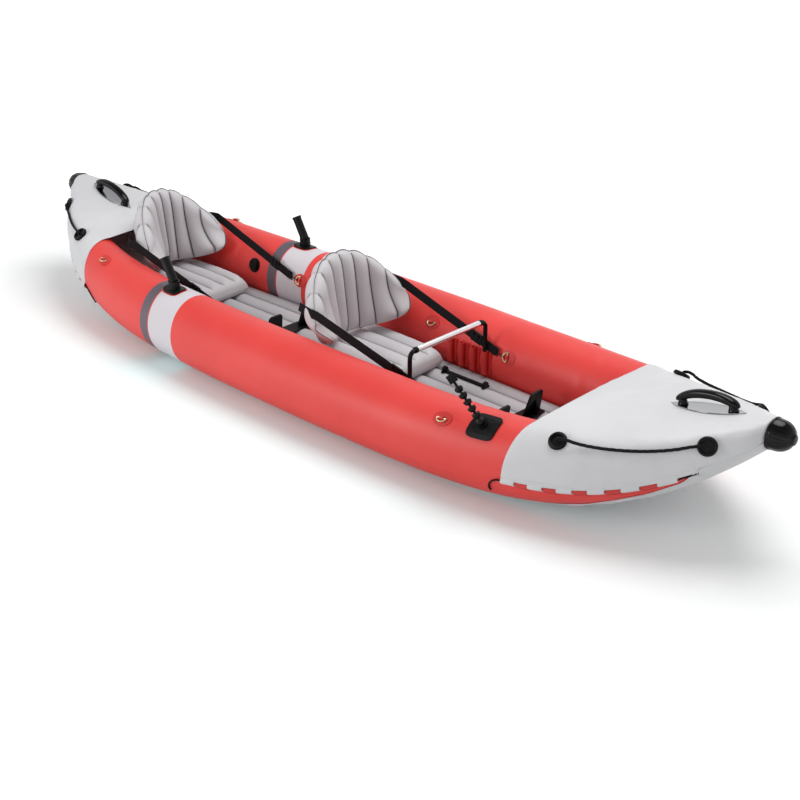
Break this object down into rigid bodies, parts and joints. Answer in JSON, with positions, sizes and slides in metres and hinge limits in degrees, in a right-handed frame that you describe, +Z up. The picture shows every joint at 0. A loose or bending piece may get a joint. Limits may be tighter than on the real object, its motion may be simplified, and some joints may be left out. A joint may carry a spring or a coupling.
{
  "type": "tandem inflatable kayak",
  "caption": "Open inflatable kayak with laced bow and stern covers, folding inflated seats, carry handles, rod holders, a lift-out accessory bar and an articulated device holder.",
  "frame": {"origin": "under midships on the ground, on the centre plane", "axes": "+X to the bow, +Y to port, +Z up"},
  "size_m": [3.84, 0.99, 0.5158],
  "materials": {
    "red_laminate": "satin coated fabric",
    "grey_laminate": "satin coated fabric",
    "black_webbing": "woven",
    "gloss_black": "gloss",
    "polished_plate": "polished",
    "silver_tube": "anodised",
    "ring_steel": "satin",
    "black_plastic": "moulded"
  },
  "bodies": {
    "hull": {"port_side_chamber": "red_laminate", "starboard_side_chamber": "red_laminate", "hull_bottom": "grey_laminate", "inflatable_floor": "grey_laminate", "bow_deck_cover": "grey_laminate", "stern_deck_cover": "grey_laminate", "bow_cover_hems": "grey_laminate", "stern_cover_hems": "grey_laminate", "bow_lacing_tabs": "red_laminate", "stern_lacing_tabs": "red_laminate", "bow_port_lacing_cord": "black_webbing", "bow_starboard_lacing_cord": "black_webbing", "stern_port_lacing_cord": "black_webbing", "stern_starboard_lacing_cord": "black_webbing", "bow_nose_cap": "gloss_black", "stern_nose_cap": "gloss_black", "handle_plates": "polished_plate", "handle_grips": "black_plastic", "rope_eyelets": "black_plastic", "bow_port_grab_rope": "black_webbing", "bow_starboard_grab_rope": "black_webbing", "stern_port_grab_rope": "black_webbing", "stern_starboard_grab_rope": "black_webbing", "rod_holder_bases": "black_plastic", "bar_sleeves": "red_laminate", "holder_base": "black_plastic", "front_seat_base": "grey_laminate", "rear_seat_base": "grey_laminate", "front_straps": "black_webbing", "rear_straps": "black_webbing", "strap_buckles": "black_plastic", "strap_hooks": "black_plastic", "strap_rings": "ring_steel", "ring_patches": "red_laminate", "foot_rails": "black_plastic", "valve_bodies": "black_plastic", "skeg_mount": "black_plastic"},
    "front_back": {"front_backrest": "grey_laminate"},
    "rear_back": {"rear_backrest": "grey_laminate"},
    "port_rod": {"port_rod_tube": "black_plastic"},
    "starboard_rod": {"starboard_rod_tube": "black_plastic"},
    "accessory_bar": {"mounting_bar": "silver_tube", "bar_elbows": "black_plastic"},
    "arm_1": {"arm_link_1": "black_plastic"},
    "arm_2": {"arm_link_2": "black_plastic"},
    "arm_3": {"arm_link_3": "black_plastic"},
    "arm_4": {"arm_link_4": "black_plastic"},
    "arm_5": {"arm_link_5": "black_plastic"},
    "cradle": {"holder_cradle": "black_plastic"},
    "jaw": {"holder_jaw": "black_plastic"},
    "front_brace": {"front_foot_brace": "black_plastic"},
    "rear_brace": {"rear_foot_brace": "black_plastic"},
    "fwd_port_ring": {"forward_port_ring": "ring_steel"},
    "fwd_starboard_ring": {"forward_starboard_ring": "ring_steel"},
    "aft_port_ring": {"aft_port_ring": "ring_steel"},
    "aft_starboard_ring": {"aft_starboard_ring": "ring_steel"},
    "wall_port_ring": {"inner_port_ring": "ring_steel"},
    "wall_starboard_ring": {"inner_starboard_ring": "ring_steel"},
    "port_cap": {"port_valve_cap": "black_plastic"},
    "starboard_cap": {"starboard_valve_cap": "black_plastic"}
  },
  "joints": [
    {"name": "front_backrest_fold", "type": "hinge", "parent": "hull", "child": "front_back", "pos_m": [-0.07, 0, 0.17322], "axis": [0, 1, 0], "range_deg": [0, 18], "deforming": ["front_straps"]},
    {"name": "rear_backrest_fold", "type": "hinge", "parent": "hull", "child": "rear_back", "pos_m": [-1.22, 0, 0.17322], "axis": [0, 1, 0], "range_deg": [0, 18], "deforming": ["rear_straps"]},
    {"name": "port_rod_swivel", "type": "hinge", "parent": "hull", "child": "port_rod", "pos_m": [-0.69, 0.35984, 0.31841], "axis": [0, 0, 1], "range_deg": [-90, 90]},
    {"name": "starboard_rod_swivel", "type": "hinge", "parent": "hull", "child": "starboard_rod", "pos_m": [-0.69, -0.35984, 0.31841], "axis": [0, 0, 1], "range_deg": [-90, 90]},
    {"name": "bar_lift", "type": "slide", "parent": "hull", "child": "accessory_bar", "axis": [0, 0, 1], "range_m": [0, 0.09]},
    {"name": "arm_bend_1", "type": "hinge", "parent": "hull", "child": "arm_1", "pos_m": [1.00184, -0.4067, 0.30988], "axis": [-0.4491, -0.7259, -0.5209], "range_deg": [-10, 4]},
    {"name": "arm_bend_2", "type": "hinge", "parent": "arm_1", "child": "arm_2", "pos_m": [0.98921, -0.41427, 0.33131], "axis": [-0.4491, -0.7259, -0.5209], "range_deg": [-10, 4]},
    {"name": "arm_bend_3", "type": "hinge", "parent": "arm_2", "child": "arm_3", "pos_m": [0.97369, -0.4192, 0.35158], "axis": [-0.4491, -0.7259, -0.5209], "range_deg": [-10, 4]},
    {"name": "arm_bend_4", "type": "hinge", "parent": "arm_3", "child": "arm_4", "pos_m": [0.95566, -0.42139, 0.37017], "axis": [-0.4491, -0.7259, -0.5209], "range_deg": [-10, 4]},
    {"name": "arm_bend_5", "type": "hinge", "parent": "arm_4", "child": "arm_5", "pos_m": [0.93555, -0.42077, 0.38665], "axis": [-0.4491, -0.7259, -0.5209], "range_deg": [-10, 4]},
    {"name": "cradle_tilt", "type": "hinge", "parent": "arm_5", "child": "cradle", "pos_m": [0.91387, -0.41737, 0.4006], "axis": [-0.4491, -0.7259, -0.5209], "range_deg": [-8, 20]},
    {"name": "jaw_slide", "type": "slide", "parent": "cradle", "child": "jaw", "axis": [-0.5863, 0.6794, -0.4412], "range_m": [-0.015, 0.018]},
    {"name": "front_brace_slide", "type": "slide", "parent": "hull", "child": "front_brace", "axis": [1, 0, 0], "range_m": [-0.05, 0.05]},
    {"name": "rear_brace_slide", "type": "slide", "parent": "hull", "child": "rear_brace", "axis": [1, 0, 0], "range_m": [-0.05, 0.05]},
    {"name": "fwd_port_ring_swing", "type": "hinge", "parent": "hull", "child": "fwd_port_ring", "pos_m": [0.85018, 0.428, 0.27495], "axis": [0.9966, -0.0775, 0.0276], "range_deg": [0, 124]},
    {"name": "fwd_starboard_ring_swing", "type": "hinge", "parent": "hull", "child": "fwd_starboard_ring", "pos_m": [0.85018, -0.428, 0.27495], "axis": [-0.9966, -0.0775, -0.0276], "range_deg": [0, 124]},
    {"name": "aft_port_ring_swing", "type": "hinge", "parent": "hull", "child": "aft_port_ring", "pos_m": [-1.16815, 0.36525, 0.30915], "axis": [0.9793, 0.1847, -0.0821], "range_deg": [0, 124]},
    {"name": "aft_starboard_ring_swing", "type": "hinge", "parent": "hull", "child": "aft_starboard_ring", "pos_m": [-1.16815, -0.36525, 0.30915], "axis": [-0.9793, 0.1847, 0.0821], "range_deg": [0, 124]},
    {"name": "wall_port_ring_swing", "type": "hinge", "parent": "hull", "child": "wall_port_ring", "pos_m": [0.18296, 0.23855, 0.23209], "axis": [-1, 0.0082, -0.0001], "range_deg": [0, 124]},
    {"name": "wall_starboard_ring_swing", "type": "hinge", "parent": "hull", "child": "wall_starboard_ring", "pos_m": [0.18296, -0.23855, 0.23209], "axis": [1, 0.0082, 0.0001], "range_deg": [0, 124]},
    {"name": "port_cap_turn", "type": "hinge", "parent": "hull", "child": "port_cap", "pos_m": [-0.868, 0.21491, 0.20525], "axis": [0.054, -0.9576, 0.2829], "range_deg": [-120, 120]},
    {"name": "starboard_cap_turn", "type": "hinge", "parent": "hull", "child": "starboard_cap", "pos_m": [-0.868, -0.21491, 0.20525], "axis": [0.054, 0.9576, 0.2829], "range_deg": [-120, 120]}
  ],
  "couplings": [
    {"joint": "arm_bend_2", "follows": "arm_bend_1", "ratio": 1},
    {"joint": "arm_bend_3", "follows": "arm_bend_1", "ratio": 1},
    {"joint": "arm_bend_4", "follows": "arm_bend_1", "ratio": 1},
    {"joint": "arm_bend_5", "follows": "arm_bend_1", "ratio": 1}
  ]
}
